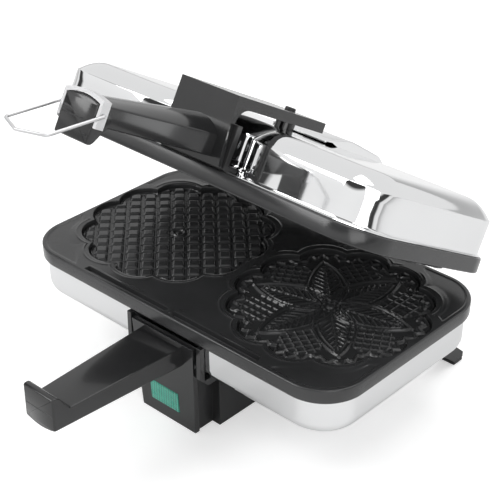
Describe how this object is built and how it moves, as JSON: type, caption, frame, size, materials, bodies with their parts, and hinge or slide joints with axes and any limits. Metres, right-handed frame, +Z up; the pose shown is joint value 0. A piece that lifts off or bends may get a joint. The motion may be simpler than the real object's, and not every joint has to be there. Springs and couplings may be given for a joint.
{
  "type": "electric pizzelle iron",
  "caption": "Two-cookie electric pizzelle iron with hinged chrome lid, dark patterned grid plates, black handles and a wire latch bail",
  "frame": {"origin": "middle of the front foot's sole, on the table", "axes": "+Z up, -Y towards the handles, +X to the right seen from the handles"},
  "size_m": [0.272, 0.2986, 0.2514],
  "materials": {
    "cast_plate": "satin dark non-stick coating on die-cast aluminium",
    "chrome_shell": "polished chrome-plated steel sheet",
    "black_plastic": "smooth black heat-resistant plastic",
    "black_resin": "satin black heat-resistant plastic",
    "zinc_steel": "bright zinc-plated steel",
    "stainless_wire": "bright stainless wire and strip",
    "heater_sheath": "oxidised steel tube",
    "shield_sheet": "bright rolled sheet",
    "lens_green": "translucent green lens with a fine dotted texture",
    "lamp_glass": "clear glass lamp",
    "foot_rubber": "soft grey-black rubber",
    "white_block": "cream moulded insulator"
  },
  "bodies": {
    "base": {"lower_grid_plate": "cast_plate", "lower_housing": "chrome_shell", "front_leg": "black_plastic", "leg_collar": "black_plastic", "front_foot": "black_resin", "rear_leg_left": "black_resin", "rear_leg_right": "black_resin", "foot_pad_left": "foot_rubber", "foot_pad_right": "foot_rubber", "lower_handle": "black_plastic", "lower_heater": "heater_sheath", "lower_heat_shield": "shield_sheet", "thermostat": "white_block", "thermal_fuse": "zinc_steel", "terminal_block": "white_block", "cord_inlet": "black_resin", "indicator_lens": "lens_green", "indicator_lamp": "lamp_glass", "lower_hinge_bracket": "zinc_steel", "hinge_pin": "zinc_steel", "plate_screws": "zinc_steel", "front_foot_screws": "zinc_steel", "rear_leg_screws": "zinc_steel", "base_hinge_screws": "zinc_steel", "lower_handle_screws": "zinc_steel"},
    "lid": {"upper_grid_plate": "cast_plate", "upper_housing": "chrome_shell", "upper_bracket": "black_plastic", "bracket_liner": "black_resin", "upper_handle": "black_plastic", "bail_saddle": "stainless_wire", "upper_heater": "heater_sheath", "upper_heat_shield": "shield_sheet", "upper_hinge_bracket": "zinc_steel", "hinge_hood": "chrome_shell", "liner_screws": "zinc_steel", "lid_hinge_screws": "zinc_steel", "upper_handle_screws": "zinc_steel", "arm_screws": "zinc_steel"},
    "bail": {"latch_bail": "stainless_wire"}
  },
  "joints": [
    {"name": "lid_hinge", "type": "hinge", "parent": "base", "child": "lid", "pos_m": [0, 0.13655, 0.0874], "axis": [-1, 0, 0], "range_deg": [-29.84, 75]},
    {"name": "bail_pivot", "type": "hinge", "parent": "lid", "child": "bail", "pos_m": [0, -0.09528, 0.24136], "axis": [1, 0, 0], "range_deg": [-175, 57]}
  ]
}
